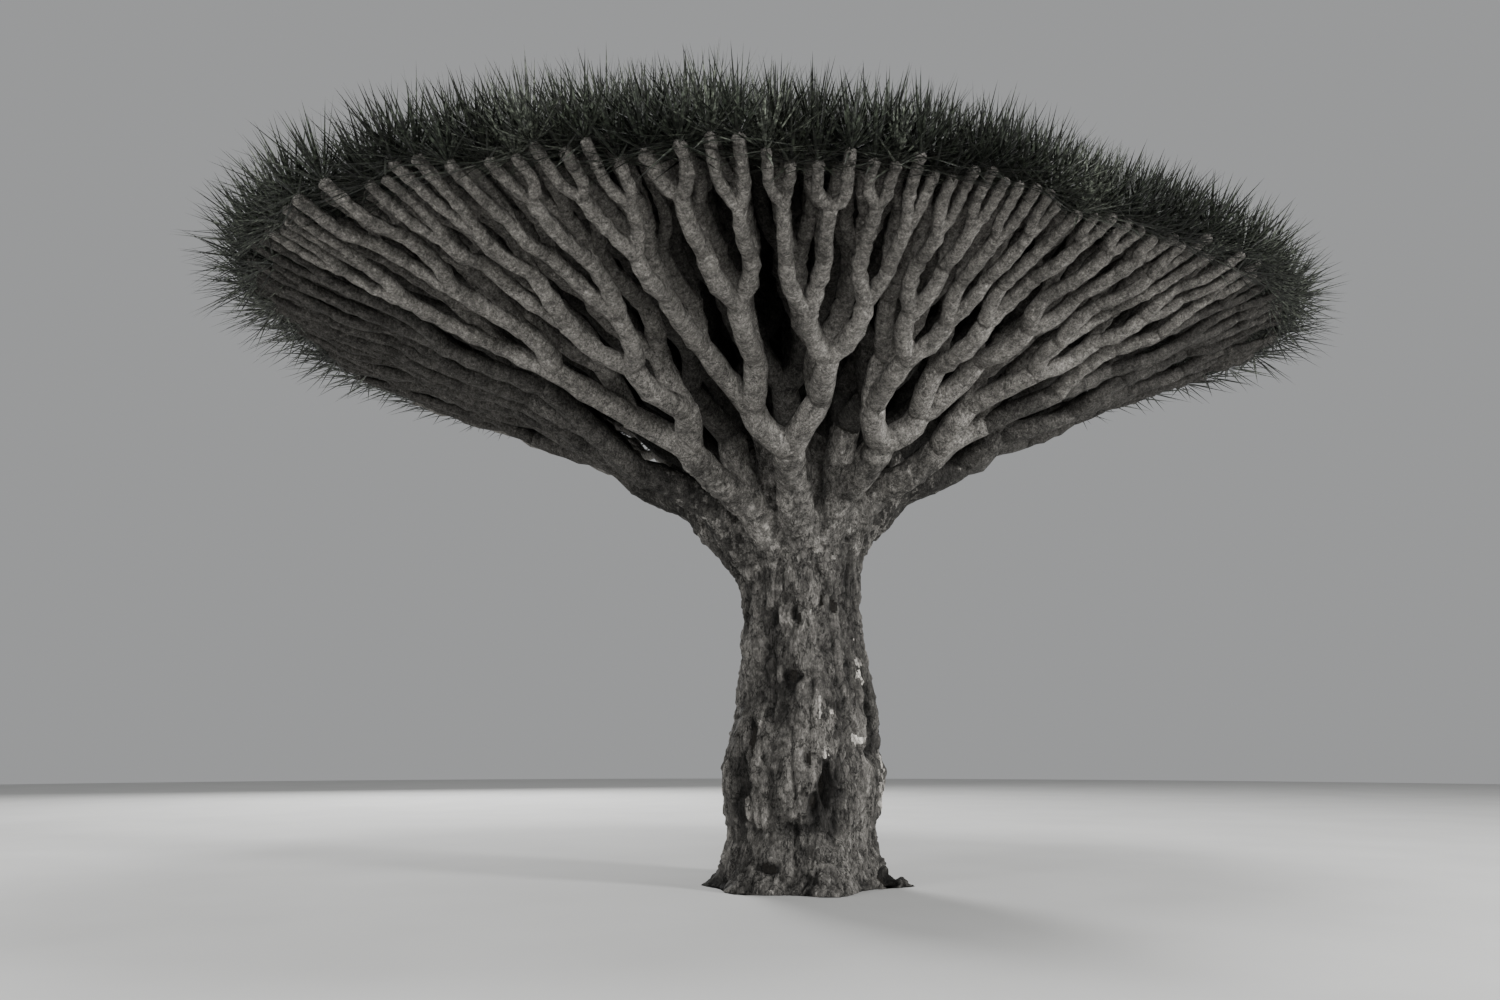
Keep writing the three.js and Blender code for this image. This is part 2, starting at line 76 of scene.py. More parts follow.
# Root buttresses: compass angle in degrees, reach beyond the stem and half width in degrees.
ROOTS = (
    (-8, .25, 15), (50, .15, 20), (116, .2, 17),
    (184, .15, 16), (234, .17, 18), (287, .15, 16),
)
ROOT_FADE_HEIGHT = .21

# Crown: the dish that the limbs fill and the dome of rosettes that closes it.
CROWN_REACH = 4.85
CROWN_LOBE = .068
CROWN_SHIFT = (-.335, .23)
RIM_HEIGHT = 5.07
RIM_RISE = (.008, .132)
RIM_TWIST = -.032
DOME_RISE = 1.475
HEAD_RADIUS = .7
HEAD_HEIGHT = 3.115
HEAD_DROP = .09
HEAD_RISE = .19
HEAD_TILT_FROM = 2.5
DISH_CURVE = .826
DISH_LEAN = .06

# Forks: how far along its way from trunk to tip a limb of each level divides.
FORKS = (0, .12, .27, .4, .54, .67, .79, .89, .95)
FORK_JITTER = .05
SPLIT_JITTER = .16

# How soon a limb has moved over to its own middle, by level and for all finer ones.
SPREAD_EASES = (1, 1, 1.5, 1.6, 1.9)
FINE_SPREAD_EASE = 2.3

# The first cells: a ring of sectors and a hub, and the level of forks that carries the masses.
FIRST_ID = 8
SECTORS = 6
SECTOR_TURN = math.radians(-77)
HUB = .35
MASS_LEVEL = 2

# Limb girth: a limb is as thick as the share of the crown that it carries asks for.
TIP_RADIUS = .038
TIP_AREA = .03
FINEST_AREA = .075
FINEST_RIM_AREA = .058
RIM_SHARE = .55
GIRTH_POWER = .28
FORK_SWELL = 1.12
FORK_WAIST = .98
HEAD_GIRTH = 1.05
HEAD_RUN = .1
SIDE_GIRTH = .45
SIDE_RUN = .3

# Where limbs start: boughs deep in the head, or as ribs down the trunk's skin, and finer ones in
# the limb that they fork from.
HEEL_SHARE = .5
HEEL_DEPTH = .6
RIB_HEIGHTS = (2.1, 2.35, 2.6, 2.8, 2.95)
RIB_STAND = (-.08, -.03, 0, .01, .02)
RIB_GROOVE = .045
RIB_GIRTH = .95
FORK_HEEL = .5
FORK_HEEL_GIRTH = .8

# Where limbs end: past their fork, or at the dome a little above or below each other.
PAST_END = .3
PAST_GIRTH = .72
TIP_RISE = .05
TIP_SETBACK = .7
FOOT_CAP = .3
END_CAP = .4

# Limb surface: rings of alternate knobs and waists, and how far a limb strays from its way.
SIDES_BY_LEVEL = (18, 18, 16, 14, 12, 10, 8, 7, 6, 6)
BOUGH_RING_STEP = .5
RING_STEP = 1.7
LEAST_RINGS = 4
KNOB = .085
BOUGH_KNOB = .025
KNOB_LEVEL = 5
KNOB_LEAST = .4
KNOB_SPREAD = 1.1
WANDER = .35
WANDER_RISE = .3
WAY_LENGTH = 5.2
GRAIN_CELL = .045
GRAIN_DEPTH = .13

# One skin over the trunk and boughs: its grid, and its rounds of smoothing, more of them at the head.
VOXEL = .0195
SMOOTHING = 3
HEAD_SMOOTHING = 12
HEAD_MIDDLE = 3.25
HEAD_SPREAD = .45

# The ragged line round the head where the skin parts in two: the height and size of its waves.
TRUNK_PIECE_TOP = 3.02
PARTING_WAVES = ((.2, .3), (.12, .06))

# Relief of the trunk's bark: sizes across, across and up of what stands out, and by how much.
RELIEF_TOP = 3.7
RELIEF_FADE = .9
BEND_REACH = .05
BEND_SIZE = .14
PLATE_SIZE = np.array((.085, .085, .16))
PLATE_STEP = .02
PLATE_HANG = .018
CRACK_WIDTH = .16
CRACK_DEPTH = .012
FISSURE_SIZE = np.array((.16, .16, .75))
FISSURE_DEPTH = .028
RIDGE_SIZE = np.array((.19, .19, 1.1))
RIDGE_HEIGHT = .021
LUMP_SIZE = np.array((.27, .27, .42))
LUMP_HEIGHT = .03
FINE_GRAIN_SIZE = .045
FINE_GRAIN_HEIGHT = .009
COARSE_GRAIN_SIZE = .13
COARSE_GRAIN_HEIGHT = .012
DEEPEST = .06
SECOND_WAVE = 2.3
LINE_SHARPNESS = 5

# Where one bough has a rough knot: its middle and how far it spreads, and the knot's own relief.
KNOT = np.array((.64, -.95, 3.8))
KNOT_SPREAD = .2
KNOT_HEIGHT = .05
KNOT_GRAIN = .07
KNOT_STEEPNESS = 2

# Marks on the side of the trunk that the camera sees, and again on its back, turned half round:
# sideways place, height, half width, half height and, where the mark sinks in, depth.
PITS = (
    (-.23, 2.34, .035, .09, .05), (-.033, 2.33, .04, .1, .07), (-.1, 1.815, .07, .09, .07),
    (.19, .86, .08, .25, .13), (.07, .72, .06, .12, .08), (-.47, 1.26, .04, .25, .06),
    (.62, 1.4, .045, .32, .09), (.75, .1, .13, .1, .14), (-.33, .2, .13, .06, .08),
    (.03, 1.1, .03, .12, .03), (.3, 2.45, .05, .12, .04), (.17, 2.5, .025, .1, .04),
    (-.52, 2.4, .025, .22, .04),
)
GROOVES = (
    (-.55, .85, .06, .5, .08), (.2, .75, .16, .42, .05),
    (.62, 1.35, .07, .45, .05), (-.05, .5, .5, .06, .03),
)
PEELED = (
    (.143, 1.57, .05, .22), (.1, 1.44, .09, .05), (.25, 1.5, .07, .05), (.47, 1.25, .08, .13),
    (.52, 1.9, .05, .36), (.5, 1.58, .1, .05), (.16, 1.12, .05, .14), (.72, .8, .05, .5),
)
PIT_STEEPNESS = 2.2
# From how far inside a pit its faces get painted shade, and how ragged that edge is.
PIT_DARK_FROM = .45
PIT_RAGGED = .15
PEELED_FROM = .75
PEELED_RAGGED = .9
RAGGED_SIZE = np.array((.035, .035, .07))

# Painted shade on the bark: by a limb's share of the way out to the rim, deeper further in, and at the
# crown's two ends, off the lit front and back.
OUTER_SHARE = .8
INNER_SHARE = .5
LIT_TOWARDS = math.radians(-80)
LIT_HALF_WIDTH = math.radians(58)
LIT_JITTER = math.radians(18)
SHADE_FROM = .75
ROUGH_LEVEL = 4

# Leaves of one rosette: length, width and where they begin, then shares of a leaf's length or width.
LEAVES = 52
LEAF_LENGTH = .52
LEAF_WIDTH = .022
LEAF_ROOT = .02
LEAF_UPRIGHT_SHARE = .92
LEAF_SPREAD = .22
LEAF_WIDEST = .3
LEAF_KEEL = .35
LEAF_DROOP = .05
LEAF_TRIANGLES = np.array([(0, 2, 1), (0, 3, 2), (1, 2, 4), (2, 3, 4)])

# How leaves stand round the rosette's axis: degrees from it, least and most, and how much less they
# open towards the far rim, from and to these places across the dish.
LEAF_POLAR = (5, 101)
LEAF_POLAR_POWER = .8
LEAF_POLAR_JITTER = 9
LEAF_TURN_JITTER = .35
LEAF_POLAR_FAR = 70
FAR_FROM = -.33
FAR_FULL = .33
GOLDEN_TURN = math.radians(137.508)

# A rosette faces on along the last bit of its limb's way, leaning upwards.
ROSETTE_WAY = .04
ROSETTE_LEAN = 1.1

# Groups of sectors that make one piece each; 14 and 15 are the hub's halves.
PIECE_SECTORS = ((8, 9, 14), (10, 11, 15), (12, 13))

# What each seeded choice is for, and how many numbers a limb or a rosette has to itself.
FORK_SEED = 1
SHARE_SEED = 2
SIDE_SEED = 3
WANDER_SEED = 11
KNOB_SEED = 12
TINT_SEED = 13
LEAF_SEED = 14
RISE_SEED = 15
ROSETTE_TURN_SEED = 19
TUBE_TURN_SEED = 31
KNOBS_PER_LIMB = 64
CHANCES_PER_ROSETTE = 128

# A line closer than this to east or north isn't used with it to span a plane, and a shorter length
# than this isn't divided by.
NEARLY_EAST = .7
NEARLY_NORTH = .8
LEAST_LENGTH = 1e-9

# What each noise in space is for.
TWIG_LUMPS = 31
TWIG_FINE_LUMPS = 32
PLATES = 41
BENDS = 44
FISSURES = 47
RIDGES = 51
LUMPS = 52
FINE_GRAIN = 53
COARSE_GRAIN = 54
KNOT_LINES = 57
PARTING = (61, 63)
RAGGED = 62

# Whole numbers that scatter others over 32 bits.
WORD = 0xffffffff
NUMBER_FACTOR = 0x9e3779b1
PURPOSE_FACTOR = 0x85ebca6b
FIRST_FACTOR = 0x2c1b3c6d
SECOND_FACTOR = 0x297a2d39
CELL_FACTORS = (73856093, 19349663, 83492791)
NOISE_FACTOR = 2654435761


# The growth rule.

def scattered(h):
    """Mixes the bits of a number, or an array of them, into a number from 0 to 1."""
    h = h ^ (h >> 15)
    h = h * FIRST_FACTOR & WORD
    h = h ^ (h >> 12)
    h = h * SECOND_FACTOR & WORD
    h = h ^ (h >> 15)
    return h / (WORD + 1)


def seeded(number, purpose):
    """A number from 0 to 1 that depends only on the branch's number and on what it is for."""
    return scattered((number * NUMBER_FACTOR ^ (purpose + 1) * PURPOSE_FACTOR) & WORD)


def crown_point(x, y, t):
    """Where the way that ends at dish position (x, y) is, at t from trunk 0 to tip 1; for arrays."""
    rho2 = x * x + y * y
    phi = np.arctan2(y, x)
    reach = CROWN_REACH * (1 + CROWN_LOBE * np.cos(3 * phi))
    tip_x = CROWN_SHIFT[0] + reach * x
    tip_y = CROWN_SHIFT[1] + reach * y
    tilt = RIM_RISE[0] * tip_x + RIM_RISE[1] * tip_y
    tip_z = RIM_HEIGHT + tilt + (RIM_TWIST * np.sin(2 * phi) - DOME_RISE) * rho2 + DOME_RISE
    head_z = HEAD_HEIGHT - HEAD_DROP * rho2 + HEAD_RISE * x
    px = HEAD_RADIUS * x + (tip_x - HEAD_RADIUS * x) * t
    py = HEAD_RADIUS * y + (tip_y - HEAD_RADIUS * y) * t
    pz = head_z + (tip_z - head_z) * t ** (DISH_CURVE + DISH_LEAN * x)
    return np.stack([px, py, pz], -1)


class Cell:
    """The share of the dish that one limb and all it carries keep to."""

    def __init__(self, number, phi0, phi1, rho0, rho1, level, parent):
        self.number, self.level, self.parent = number, level, parent
        self.phi0, self.phi1, self.rho0, self.rho1 = phi0, phi1, rho0, rho1
        rho = math.sqrt((rho0 ** 2 + rho1 ** 2) / 2)
        phi = (phi0 + phi1) / 2
        self.x, self.y = rho * math.cos(phi), rho * math.sin(phi)
        self.area = (phi1 - phi0) * (rho1 ** 2 - rho0 ** 2) * CROWN_REACH ** 2 / 2
        self.start = parent.fork if parent else 0.0
        fork = FORKS[level] if level < len(FORKS) else 1.0
        self.fork = fork + (FORK_JITTER * (seeded(number, FORK_SEED) - .5) if level else 0)
        self.radius = TIP_RADIUS * max(1, self.area / TIP_AREA) ** GIRTH_POWER
        finest = FINEST_RIM_AREA if rho > RIM_SHARE else FINEST_AREA
        self.is_tip = self.area < finest or level >= len(FORKS)
        self.root = parent.root if parent else number

    def children(self):
        """Divides across the longer side; the first child goes on in its parent's line."""
        share = .5 + SPLIT_JITTER * (seeded(self.number, SHARE_SEED) - .5)
        across = (self.phi1 - self.phi0) * (self.rho0 + self.rho1) / 2
        first, second, level = 2 * self.number, 2 * self.number + 1, self.level + 1
        if across > self.rho1 - self.rho0:
            cut = self.phi0 + (self.phi1 - self.phi0) * share
            sides = [(self.phi0, cut), (cut, self.phi1)]
            if seeded(self.number, SIDE_SEED) >= .5:
                sides.reverse()
            return [Cell(first, *sides[0], self.rho0, self.rho1, level, self),
                    Cell(second, *sides[1], self.rho0, self.rho1, level, self)]
        cut = math.sqrt(self.rho0 ** 2 + (self.rho1 ** 2 - self.rho0 ** 2) * share)
        return [Cell(first, self.phi0, self.phi1, cut, self.rho1, level, self),
                Cell(second, self.phi0, self.phi1, self.rho0, cut, level, self)]


def root_cells():
    """A ring of sectors, and two halves of the hub inside them."""
    sector = 2 * math.pi / SECTORS
    cells = []
    for k in range(SECTORS):
        phi = SECTOR_TURN + k * sector
        cells.append(Cell(FIRST_ID + k, phi - sector / 2, phi + sector / 2, HUB, 1, 0, None))
    for k in range(2):
        phi = SECTOR_TURN + k * math.pi
        cells.append(Cell(FIRST_ID + SECTORS + k, phi, phi + math.pi, 0, HUB, 1, None))
    return cells


def grow():
    """Every limb of the tree, from the first cells to the finest twigs."""
    limbs = root_cells()
    for cell in limbs:
        if not cell.is_tip:
            limbs.extend(cell.children())
    return limbs


def limb_way(cell, t):
    """The limb's middle line at an array of shares of the way, on its parent's before its fork."""
    before = t < cell.start
    if cell.level > 1 and before.any():
        return np.concatenate([limb_way(cell.parent, t[before]), limb_way(cell, t[~before])])
    origin = cell.parent if cell.level > 1 else cell
    run = np.minimum(1, (t - cell.start) / (cell.fork - cell.start))
    power = SPREAD_EASES[cell.level] if cell.level < len(SPREAD_EASES) else FINE_SPREAD_EASE
    ease = 1 - (1 - run) ** power
    return crown_point(origin.x + (cell.x - origin.x) * ease, origin.y + (cell.y - origin.y) * ease, t)


def limb_girth(cell, t):
    """The limb's radius at an array of shares of the way: wider at forks, and at the crown's ends."""
    run = np.clip((t - cell.start) / (cell.fork - cell.start), 0, 1)
    head = HEAD_GIRTH + (1 - HEAD_GIRTH) * np.minimum(1, t / HEAD_RUN)
    side = cell.x ** 2 / (cell.x ** 2 + cell.y ** 2)
    head = head + SIDE_GIRTH * side ** 2 * np.minimum(t / HEAD_RUN, np.maximum(0, 1 - t / SIDE_RUN))
    return cell.radius * head * (FORK_SWELL + (FORK_WAIST - FORK_SWELL) * run)


def way_end(cell):
    """Where on its way a limb ends: at its fork, or near the dome where it carries a rosette."""
    if not cell.is_tip:
        return cell.fork
    return 1 + TIP_RISE * (seeded(cell.number, RISE_SEED) - TIP_SETBACK)


# Noise in space, the same on every run.

def lattice(cells, purpose):
    """A number from 0 to 1 for each whole-numbered point of space."""
    c = cells.astype(np.int64)
    h = c[..., 0] * CELL_FACTORS[0] ^ c[..., 1] * CELL_FACTORS[1] ^ c[..., 2] * CELL_FACTORS[2]
    return scattered(((h ^ purpose * NOISE_FACTOR) & WORD).astype(np.uint64))


def soft_noise(points, size, purpose):
    """Smooth noise from -1 to 1 whose lumps are about size across; size may differ by axis."""
    q = points / size
    whole = np.floor(q)
    f = q - whole
    f = f * f * (3 - 2 * f)
    total = 0
    for corner in np.ndindex(2, 2, 2):
        c = np.array(corner)
        weight = np.prod(np.where(c, f, 1 - f), -1)
        total = total + weight * lattice(whole + c, purpose)
    return 2 * total - 1


def ridge_noise(points, size, purpose):
    """Ragged lines: 0 on a line and up to 1 away from it."""
    waves = soft_noise(points, size, purpose) + .5 * soft_noise(points, size / SECOND_WAVE, purpose + 1)
    return np.minimum(1, LINE_SHARPNESS * np.abs(waves))


def plate_noise(points, size, purpose):
    """Bark plates: how far a point is from its plate's edge, a number for the plate, and the height
    above the plate's middle."""
    q = points / size
    whole = np.floor(q)
    nearest = np.full(len(q), np.inf)
    second = np.full(len(q), np.inf)
    plate = np.zeros(len(q))
    rise = np.zeros(len(q))
    for corner in np.ndindex(3, 3, 3):
        cell = whole + np.array(corner) - 1
        middle = cell + np.stack([lattice(cell, purpose + k) for k in range(3)], -1)
        away = np.linalg.norm(q - middle, axis=-1)
        closer = away < nearest
        second = np.where(closer, nearest, np.minimum(second, away))
        plate = np.where(closer, lattice(cell, purpose + 3), plate)
        rise = np.where(closer, q[:, 2] - middle[:, 2], rise)
        nearest = np.where(closer, away, nearest)
    return second - nearest, plate, rise


# Meshes from arrays.

def make_object(name, vertices, triangles, materials, which=None, smooth=True):
    """An object from arrays of points and triangles, which says each triangle's material."""
    mesh = bpy.data.meshes.new(name)
    mesh.vertices.add(len(vertices))
    mesh.vertices.foreach_set("co", np.ascontiguousarray(vertices, np.float32).ravel())
    mesh.loops.add(3 * len(triangles))
    mesh.loops.foreach_set("vertex_index", np.ascontiguousarray(triangles, np.int32).ravel())
    mesh.polygons.add(len(triangles))
    mesh.polygons.foreach_set("loop_start", np.arange(len(triangles), dtype=np.int32) * 3)
    for material in materials:
        mesh.materials.append(material)
    if which is not None:
        mesh.polygons.foreach_set("material_index", np.ascontiguousarray(which, np.int32))
    mesh.polygons.foreach_set("use_smooth", np.full(len(triangles), smooth))
    mesh.update(calc_edges=True)
    mesh.validate()
    piece = bpy.data.objects.new(name, mesh)
    bpy.context.scene.collection.objects.link(piece)
    return piece


def strip(rings, sides):
    """Triangles of a tube of rings with a middle point closing each end; those two points come last."""
    ring, side = np.meshgrid(np.arange(rings - 1), np.arange(sides), indexing="ij")
    a = ring * sides + side
    b = ring * sides + (side + 1) % sides
    wall = np.stack([a, b, b + sides, a, b + sides, a + sides], -1).reshape(-1, 3)
    n = np.arange(sides)
    low, high = rings * sides, rings * sides + 1
    foot = np.stack([np.full(sides, low), (n + 1) % sides, n], -1)
    last = (rings - 1) * sides
    head = np.stack([np.full(sides, high), last + n, last + (n + 1) % sides], -1)
    return np.concatenate([wall, foot, head])


def tube(points, radii, sides, spin):
    """Rings round a line of points: vertices, the way outward at each, triangles, and how many
    widths along the tube each vertex is."""
    ways = np.gradient(points, axis=0)
    ways /= np.linalg.norm(ways, axis=1, keepdims=True)
    aim = np.array((1.0, 0, 0)) if abs(ways.mean(0)[0]) < NEARLY_EAST else np.array((0, 1.0, 0))
    across = np.cross(ways, aim)
    across /= np.linalg.norm(across, axis=1, keepdims=True)
    up = np.cross(ways, across)
    angles = spin + 2 * np.pi * np.arange(sides) / sides
    out = across[:, None] * np.cos(angles)[None, :, None] + up[:, None] * np.sin(angles)[None, :, None]
    walls = points[:, None] + out * radii[:, None, None]
    foot = points[0] - ways[0] * radii[0] * FOOT_CAP
    end = points[-1] + ways[-1] * radii[-1] * END_CAP
    vertices = np.concatenate([walls.reshape(-1, 3), np.stack([foot, end])])
    outward = np.concatenate([out.reshape(-1, 3) * np.repeat(radii, sides)[:, None], np.zeros((2, 3))])
    steps = np.linalg.norm(np.diff(points, axis=0), axis=1)
    along = np.cumsum(np.append(0, steps)) / (2 * radii.mean())
    along = np.concatenate([np.repeat(along + spin, sides), along[[0, -1]] + spin])
    return vertices, outward, strip(len(points), sides), along


def stray_of(cell, points, run):
    """How far a limb bends aside from its way, most in its middle. The boughs at the head don't."""
    if cell.level <= 1:
        return np.zeros_like(points)
    turn = 2 * math.pi * seeded(cell.number, WANDER_SEED)
    side = np.cross(points[-1] - points[0], (math.cos(turn), math.sin(turn), WANDER_RISE))
    side /= np.linalg.norm(side)
    return (WANDER * cell.radius * np.sin(np.pi * run))[:, None] * side


def knobs_of(cell, rings):
    """The alternate knobs and waists of a limb's rings, as shares of its radius."""
    first = seeded(cell.number, KNOB_SEED) < .5
    knob = KNOB if cell.level >= KNOB_LEVEL else BOUGH_KNOB
    alternate = np.where((np.arange(rings) + first) % 2 == 0, knob, -knob)
    uneven = np.array([seeded(cell.number * KNOBS_PER_LIMB + k, KNOB_SEED) for k in range(rings)])
    return alternate * (KNOB_LEAST + KNOB_SPREAD * uneven)


def heel_of(cell, start):
    """Where a limb comes from: its parent's line, the trunk's inside or, as a rib, its skin."""
    if cell.level > 1:
        return limb_way(cell, np.array([cell.start - FORK_HEEL * cell.radius / WAY_LENGTH]))
    if not cell.parent:
        return np.array([start * (HEEL_SHARE, HEEL_SHARE, 1) - (0, 0, HEEL_DEPTH)])
    heights = np.array(RIB_HEIGHTS)
    girth = np.interp(heights, TRUNK_SECTIONS[:, 0], TRUNK_SECTIONS[:, 1])
    out = girth - RIB_GIRTH * limb_girth(cell, np.zeros(1)) + RIB_STAND
    phi = math.atan2(cell.y, cell.x)
    return np.stack([out * math.cos(phi), out * math.sin(phi), heights], -1)


def limb_tube(cell, step, sides):
    """One limb from inside its parent to a rounded end past its fork, with knobs and waists."""
    end = way_end(cell)
    rings = max(LEAST_RINGS, round((end - cell.start) * WAY_LENGTH / (step * cell.radius)))
    t = np.linspace(cell.start, end, rings + 1)
    points = limb_way(cell, t)
    points = points + stray_of(cell, points, (t - cell.start) / (end - cell.start))
    radii = limb_girth(cell, t) * (1 + knobs_of(cell, rings + 1))
    onward = points[-1] - points[-2]
    past = points[-1:] + onward / np.linalg.norm(onward) * PAST_END * cell.radius
    heel = heel_of(cell, points[0])
    heel_girth = np.repeat(radii[:1] * (RIB_GIRTH if cell.level == 1 else FORK_HEEL_GIRTH), len(heel))
    points = np.concatenate([heel, points, past])
    radii = np.concatenate([heel_girth, radii, radii[-1:] * PAST_GIRTH])
    return tube(points, radii, sides, 2 * math.pi * seeded(cell.number, TUBE_TURN_SEED))


def join(parts):
    """The arrays of several tubes put together, with the corners of their triangles counted on."""
    counts = np.cumsum([0] + [len(part[0]) for part in parts[:-1]])
    vertices = np.concatenate([part[0] for part in parts])
    outward = np.concatenate([part[1] for part in parts])
    triangles = np.concatenate([part[2] + start for part, start in zip(parts, counts)])
    along = np.concatenate([part[3] for part in parts])
    return vertices, outward, triangles, along


def roughen(vertices, outward):
    """Lumps of bark on thin limbs, in proportion to their girth."""
    lumps = soft_noise(vertices, GRAIN_CELL, TWIG_LUMPS)
    lumps = lumps + .5 * soft_noise(vertices, GRAIN_CELL / 2, TWIG_FINE_LUMPS)
    return vertices + outward * (GRAIN_DEPTH * lumps)[:, None]


# Trunk and boughs.

def root_reach(phi, z):
    """How far the root buttresses stand out of the stem at a compass angle and height."""
    total = 0
    for degrees, reach, half_width in ROOTS:
        middle = math.radians(degrees)
        turn = np.arctan2(np.sin(phi - middle), np.cos(phi - middle))
        total = total + reach * np.exp(-(turn / math.radians(half_width)) ** 2 - z / ROOT_FADE_HEIGHT)
    return total


def trunk_tube():
    """The fluted trunk from its flat cut to the closed head, as rings of one closed tube."""
    heights = np.arange(0, TRUNK_SECTIONS[-1, 0], TRUNK_STEP)
    heights = np.append(heights, TRUNK_SECTIONS[-1, 0])
    phi = 2 * np.pi * np.arange(TRUNK_SIDES) / TRUNK_SIDES
    z = heights[:, None]
    radius = np.interp(heights, TRUNK_SECTIONS[:, 0], TRUNK_SECTIONS[:, 1])[:, None]
    shift = np.interp(heights, TRUNK_SECTIONS[:, 0], TRUNK_SECTIONS[:, 2])[:, None]
    swell = SWELL_SHARE * np.cos(SWELL_COUNT * phi + SWELL_TURN)
    flute = FLUTE_DEPTH * (np.cos(FLUTE_COUNT * phi + FLUTE_TURN) + swell)
    groove = RIB_GROOVE * np.clip((z - RIB_HEIGHTS[0]) / (RIB_HEIGHTS[2] - RIB_HEIGHTS[0]), 0, 1)
    radius = radius * (1 + flute) + root_reach(phi[None], z) - groove
    x = radius * np.cos(phi) + shift
    tilt = HEAD_RISE * x * np.clip((z - HEAD_TILT_FROM) / (TRUNK_TOP - HEAD_TILT_FROM), 0, 1)
    walls = np.stack([x, radius * np.sin(phi), z + tilt], -1)
    ends = np.array([(TRUNK_SECTIONS[0, 2], 0, 0), (TRUNK_SECTIONS[-1, 2], 0, TRUNK_TOP)])
    vertices = np.concatenate([walls.reshape(-1, 3), ends])
    return vertices, np.zeros_like(vertices), strip(len(heights), TRUNK_SIDES), np.zeros(len(vertices))


def remeshed(vertices, triangles):
    """One skin over crossing closed tubes: vertices and square faces."""
    raw = make_object("raw_limbs", vertices, triangles, [])
    skin = raw.modifiers.new("skin", "REMESH")
    skin.mode = "VOXEL"
    skin.voxel_size = VOXEL
    shown = raw.evaluated_get(bpy.context.evaluated_depsgraph_get())
    mesh = bpy.data.meshes.new_from_object(shown)
    points = np.empty(3 * len(mesh.vertices), np.float32)
    mesh.vertices.foreach_get("co", points)
    corners = np.empty(len(mesh.loops), np.int32)
    mesh.loops.foreach_get("vertex_index", corners)
    bpy.data.objects.remove(raw)
    bpy.data.meshes.remove(mesh)
    return points.reshape(-1, 3).astype(float), corners.reshape(-1, 4)


def smoothed(points, quads, rounds, weight):
    """Moves each point towards the middle of its neighbours, half way where its weight is 1."""
    edges = np.concatenate([quads[:, [k, (k + 1) % 4]] for k in range(4)])
    here, there = edges[:, 0], edges[:, 1]
    count = np.maximum(np.bincount(here, minlength=len(points))[:, None], 1)
    for _ in range(rounds):
        total = np.stack([np.bincount(here, points[there, k], len(points)) for k in range(3)], -1)
        points = points + (total / count - points) * weight[:, None] / 2
    return points


def normals_of(points, quads):
    """The way outward at each point of a skin of square faces."""
    face = np.cross(points[quads[:, 2]] - points[quads[:, 0]], points[quads[:, 3]] - points[quads[:, 1]])
    total = np.zeros_like(points)
    for corner in range(4):
        for axis in range(3):
            total[:, axis] += np.bincount(quads[:, corner], face[:, axis], len(points))
    return total / np.maximum(np.linalg.norm(total, axis=1, keepdims=True), LEAST_LENGTH)


def bark_skin(limbs):
    """Trunk and boughs as one smooth skin of square faces."""
    boughs = [cell for cell in limbs if 1 <= cell.level <= MASS_LEVEL]
    parts = [limb_tube(cell, BOUGH_RING_STEP, SIDES_BY_LEVEL[cell.level]) for cell in boughs]
    vertices, _, triangles, _ = join([trunk_tube()] + parts)
    points, quads = remeshed(vertices, triangles)
    points = smoothed(points, quads, SMOOTHING, np.ones(len(points)))
    near_head = np.exp(-((points[:, 2] - HEAD_MIDDLE) / HEAD_SPREAD) ** 4)
    return smoothed(points, quads, HEAD_SMOOTHING, near_head), quads


def in_mark(points, mark):
    """How far inside an oval mark on the front or back a point is: 1 in its middle, 0 from its edge."""
    x, z, half_width, half_height = mark[:4]
    across = np.where(points[:, 1] < 0, points[:, 0], -points[:, 0])
    away = np.hypot((across - x) / half_width, (points[:, 2] - z) / half_height)
    return np.clip(1 - away, 0, 1)


def plate_relief(points):
    """Hanging plates of bark with cracks between them."""
    edge, plate, rise = plate_noise(points, PLATE_SIZE, PLATES)
    cracks = CRACK_DEPTH * (1 - np.clip(edge / CRACK_WIDTH, 0, 1))
    return PLATE_STEP * (plate - .5) - PLATE_HANG * rise - cracks


def knot_relief(points):
    """The rough knot on one bough."""
    near = np.clip(1 - np.linalg.norm(points - KNOT, axis=1) / KNOT_SPREAD, 0, 1)
    lines = 1 - 2 * ridge_noise(points, KNOT_GRAIN, KNOT_LINES)
    return KNOT_HEIGHT * np.minimum(1, KNOT_STEEPNESS * near) * lines


def bark_relief(points):
    """How far the bark stands out at each point: plates and ridges on the trunk, grain on boughs."""
    on_trunk = np.clip((RELIEF_TOP - points[:, 2]) / RELIEF_FADE, 0, 1)
    bends = [soft_noise(points, BEND_SIZE, BENDS + k) for k in range(3)]
    bent = points + BEND_REACH * np.stack(bends, -1)
    fissures = -FISSURE_DEPTH * (1 - ridge_noise(points, FISSURE_SIZE, FISSURES))
    ridges = RIDGE_HEIGHT * soft_noise(points, RIDGE_SIZE, RIDGES)
    ridges += LUMP_HEIGHT * soft_noise(points, LUMP_SIZE, LUMPS)
    grain = FINE_GRAIN_HEIGHT * soft_noise(points, FINE_GRAIN_SIZE, FINE_GRAIN)
    grain += COARSE_GRAIN_HEIGHT * soft_noise(points, COARSE_GRAIN_SIZE, COARSE_GRAIN)
    relief = on_trunk * (plate_relief(bent) + fissures + ridges) + grain + knot_relief(points)
    for mark in GROOVES:
        relief -= mark[4] * np.sqrt(in_mark(bent, mark))
    for mark in PITS:
        relief -= mark[4] * np.minimum(1, PIT_STEEPNESS * in_mark(bent, mark))
    return relief


